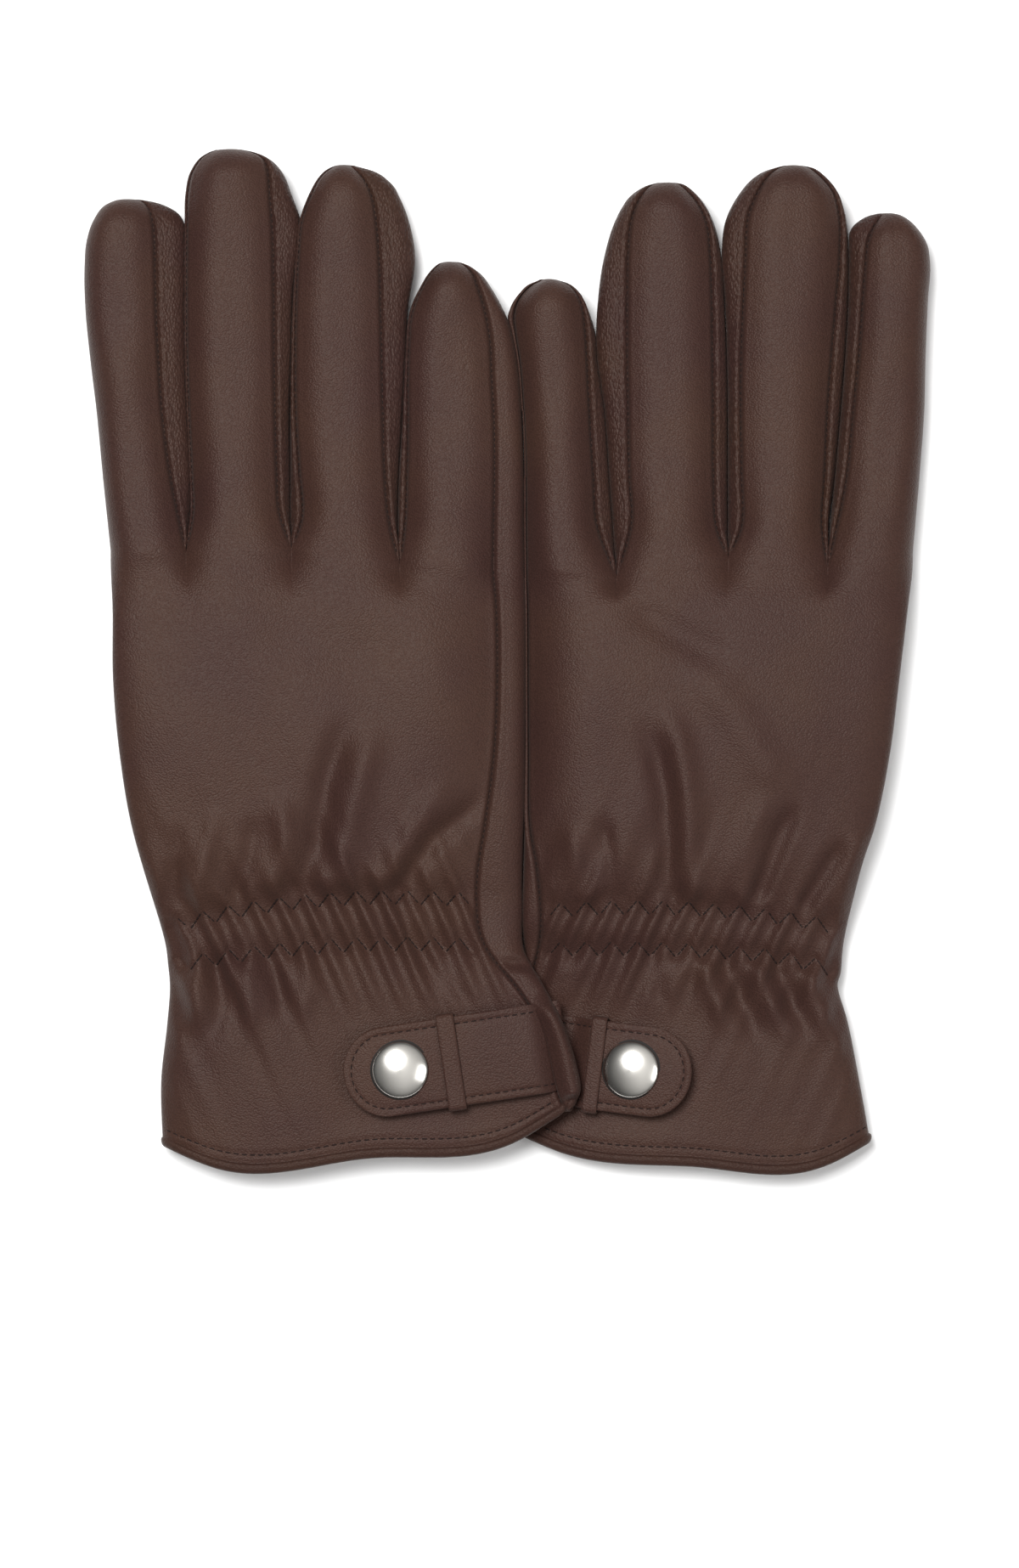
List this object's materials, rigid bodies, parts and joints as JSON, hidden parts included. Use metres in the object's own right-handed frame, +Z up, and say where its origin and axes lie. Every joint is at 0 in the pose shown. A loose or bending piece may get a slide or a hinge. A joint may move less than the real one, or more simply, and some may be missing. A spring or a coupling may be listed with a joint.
{
  "type": "leather gloves",
  "caption": "A pair of dark brown leather dress gloves with snap straps at the cuffs, lying flat and slightly overlapped at the cuffs.",
  "frame": {"origin": "centre of the pair's footprint, on the table", "axes": "+Y towards the fingertips, +X from the right-hand glove to the left-hand glove, +Z up out of the backs of the gloves"},
  "size_m": [0.2056, 0.2496, 0.0215],
  "materials": {
    "leather": "satin smooth-grain",
    "fourchette": "satin, coarser grain",
    "lining": "brushed knit",
    "elastic": "matt woven",
    "thread": "matt",
    "nickel": "polished nickel"
  },
  "bodies": {
    "left_hand": {"left_hand_back": "leather", "left_hand_palm": "leather", "left_hand_lining": "lining", "left_elastic_band": "elastic", "left_cuff_binding": "leather", "left_snap_stud": "nickel", "left_snap_post": "nickel", "left_zigzag_upper": "thread", "left_zigzag_lower": "thread", "left_strap_anchor": "leather"},
    "left_strap_assembly": {"left_strap": "leather", "left_strap_backing": "leather", "left_snap_cap": "nickel", "left_snap_socket": "nickel"},
    "left_keeper": {"left_keeper_loop": "leather"},
    "left_thumb_stall": {"left_thumb": "leather"},
    "left_index_stall": {"left_index_back": "leather", "left_index_palm": "leather", "left_index_fourchette": "fourchette"},
    "left_middle_stall": {"left_middle_back": "leather", "left_middle_palm": "leather", "left_middle_fourchette_radial": "fourchette", "left_middle_fourchette_ulnar": "fourchette"},
    "left_ring_stall": {"left_ring_back": "leather", "left_ring_palm": "leather", "left_ring_fourchette_radial": "fourchette", "left_ring_fourchette_ulnar": "fourchette"},
    "left_little_stall": {"left_little_back": "leather", "left_little_palm": "leather", "left_little_fourchette": "fourchette"},
    "right_hand": {"right_hand_back": "leather", "right_hand_palm": "leather", "right_hand_lining": "lining", "right_elastic_band": "elastic", "right_cuff_binding": "leather", "right_snap_stud": "nickel", "right_snap_post": "nickel", "right_zigzag_upper": "thread", "right_zigzag_lower": "thread", "right_strap_anchor": "leather"},
    "right_strap_assembly": {"right_strap": "leather", "right_strap_backing": "leather", "right_snap_cap": "nickel", "right_snap_socket": "nickel"},
    "right_keeper": {"right_keeper_loop": "leather"},
    "right_thumb_stall": {"right_thumb": "leather"},
    "right_index_stall": {"right_index_back": "leather", "right_index_palm": "leather", "right_index_fourchette": "fourchette"},
    "right_middle_stall": {"right_middle_back": "leather", "right_middle_palm": "leather", "right_middle_fourchette_radial": "fourchette", "right_middle_fourchette_ulnar": "fourchette"},
    "right_ring_stall": {"right_ring_back": "leather", "right_ring_palm": "leather", "right_ring_fourchette_radial": "fourchette", "right_ring_fourchette_ulnar": "fourchette"},
    "right_little_stall": {"right_little_back": "leather", "right_little_palm": "leather", "right_little_fourchette": "fourchette"}
  },
  "joints": [
    {"name": "left_index_flex", "type": "hinge", "parent": "left_hand", "child": "left_index_stall", "pos_m": [0.08903, 0.02412, 0.0045], "axis": [-1, 0, 0], "range_deg": [0, 45]},
    {"name": "left_middle_flex", "type": "hinge", "parent": "left_hand", "child": "left_middle_stall", "pos_m": [0.06588, 0.02347, 0.0045], "axis": [-1, 0, 0], "range_deg": [0, 45]},
    {"name": "left_ring_flex", "type": "hinge", "parent": "left_hand", "child": "left_ring_stall", "pos_m": [0.04083, 0.02262, 0.0045], "axis": [-1, 0, 0], "range_deg": [0, 45]},
    {"name": "left_little_flex", "type": "hinge", "parent": "left_hand", "child": "left_little_stall", "pos_m": [0.01403, 0.02183, 0.0045], "axis": [-1, 0, 0], "range_deg": [0, 45]},
    {"name": "left_thumb_swing", "type": "hinge", "parent": "left_hand", "child": "left_thumb_stall", "pos_m": [0.08273, -0.04792, 0.0035], "axis": [0, 0, -1], "range_deg": [0, 50]},
    {"name": "left_strap_flip", "type": "hinge", "parent": "left_hand", "child": "left_strap_assembly", "pos_m": [0.01851, -0.09763, 0.01397], "axis": [-0.1219, -0.9925, 0], "range_deg": [0, 90]},
    {"name": "left_keeper_slide", "type": "slide", "parent": "left_strap_assembly", "child": "left_keeper", "axis": [0.9789, -0.1202, 0.1651], "range_m": [-0.0004, 0]},
    {"name": "right_glove_lift", "type": "slide", "parent": "left_hand", "child": "right_hand", "axis": [0, 0, 1], "range_m": [0, 0.15]},
    {"name": "right_index_flex", "type": "hinge", "parent": "right_hand", "child": "right_index_stall", "pos_m": [-0.08762, 0.02648, 0.0045], "axis": [-1, 0, 0], "range_deg": [0, 45]},
    {"name": "right_middle_flex", "type": "hinge", "parent": "right_hand", "child": "right_middle_stall", "pos_m": [-0.06477, 0.02686, 0.0045], "axis": [-1, 0, 0], "range_deg": [0, 45]},
    {"name": "right_ring_flex", "type": "hinge", "parent": "right_hand", "child": "right_ring_stall", "pos_m": [-0.03897, 0.02514, 0.0045], "axis": [-1, 0, 0], "range_deg": [0, 45]},
    {"name": "right_little_flex", "type": "hinge", "parent": "right_hand", "child": "right_little_stall", "pos_m": [-0.01407, 0.02345, 0.0045], "axis": [-1, 0, 0], "range_deg": [0, 45]},
    {"name": "right_thumb_swing", "type": "hinge", "parent": "right_hand", "child": "right_thumb_stall", "pos_m": [-0.08277, -0.04792, 0.0035], "axis": [0, 0, 1], "range_deg": [0, 50]},
    {"name": "right_strap_flip", "type": "hinge", "parent": "right_hand", "child": "right_strap_assembly", "pos_m": [0.00796, -0.09389, 0.01905], "axis": [-0.1478, 0.989, 0], "range_deg": [0, 150]},
    {"name": "right_keeper_slide", "type": "slide", "parent": "right_strap_assembly", "child": "right_keeper", "axis": [-0.989, -0.1478, 0], "range_m": [-0.014, 0.003]}
  ]
}
